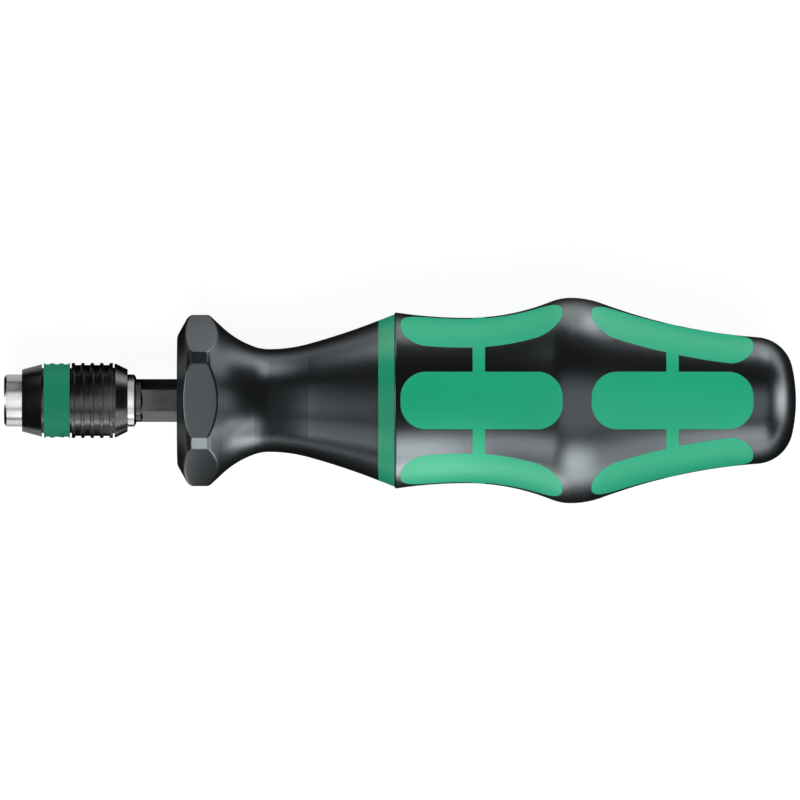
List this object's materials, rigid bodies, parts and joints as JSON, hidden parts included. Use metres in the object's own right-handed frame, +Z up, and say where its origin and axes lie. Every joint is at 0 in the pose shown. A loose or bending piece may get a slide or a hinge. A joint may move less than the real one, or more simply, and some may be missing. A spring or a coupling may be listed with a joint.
{
  "type": "torque screwdriver",
  "caption": "Preset torque screwdriver: two-component handle, hexagonal anti-roll collar on a slim waist, and a quick-change bit chuck on a hexagon shank.",
  "frame": {"origin": "centre of the chuck's front face, on the tool's axis, where a bit goes in", "axes": "+X along the tool from the chuck to the handle's end, +Z up from the collar's lowest flat, +Y to the side"},
  "size_m": [0.1348, 0.035, 0.035],
  "materials": {
    "bright_steel": "turned, bright nickel plate",
    "dark_steel": "drawn hexagon bar, darkened",
    "black_sleeve": "satin black",
    "band_rubber": "matte elastomer",
    "black_plastic": "fine satin grain",
    "green_plastic": "satin",
    "green_rubber": "matte soft-touch",
    "inner_steel": "machined",
    "spring_steel": "oiled spring wire",
    "bronze": "sintered"
  },
  "bodies": {
    "handle": {"front_housing": "black_plastic", "front_bush": "bronze", "accent_ring": "green_plastic", "grip_core": "black_plastic", "front_grip_inlay": "green_rubber", "rear_grip_inlay": "green_rubber", "clutch_tube": "inner_steel", "thrust_washer": "inner_steel", "main_spring": "spring_steel", "spring_seat": "inner_steel", "adjusting_nut": "inner_steel", "lock_nut": "inner_steel"},
    "spindle": {"spindle": "dark_steel", "driven_disc": "inner_steel", "spindle_circlip": "inner_steel", "chuck_body": "bright_steel", "rear_collar": "bright_steel", "bit_magnet": "inner_steel", "ejector_spring": "spring_steel", "locking_balls": "inner_steel", "spring_washer": "inner_steel", "return_spring": "spring_steel"},
    "plate": {"pressure_plate": "inner_steel", "clutch_balls": "inner_steel"},
    "slider": {"lock_collar": "inner_steel"},
    "sleeve": {"outer_sleeve": "black_sleeve", "sleeve_band": "band_rubber", "sleeve_cap": "black_sleeve"}
  },
  "joints": [
    {"name": "clutch_slip", "type": "hinge", "parent": "handle", "child": "spindle", "pos_m": [0.035, 0, 0], "axis": [1, 0, 0], "continuous": true},
    {"name": "plate_lift", "type": "slide", "parent": "handle", "child": "plate", "axis": [1, 0, 0], "range_m": [0, 0.00095], "stiffness_N_per_m": 20000, "springref_m": -0.0044, "deforming": ["main_spring"]},
    {"name": "sleeve_slide", "type": "slide", "parent": "spindle", "child": "slider", "axis": [-1, 0, 0], "range_m": [0, 0.002], "stiffness_N_per_m": 800, "springref_m": -0.002, "deforming": ["return_spring"]},
    {"name": "sleeve_spin", "type": "hinge", "parent": "slider", "child": "sleeve", "pos_m": [0.011, 0, 0], "axis": [1, 0, 0], "continuous": true}
  ]
}
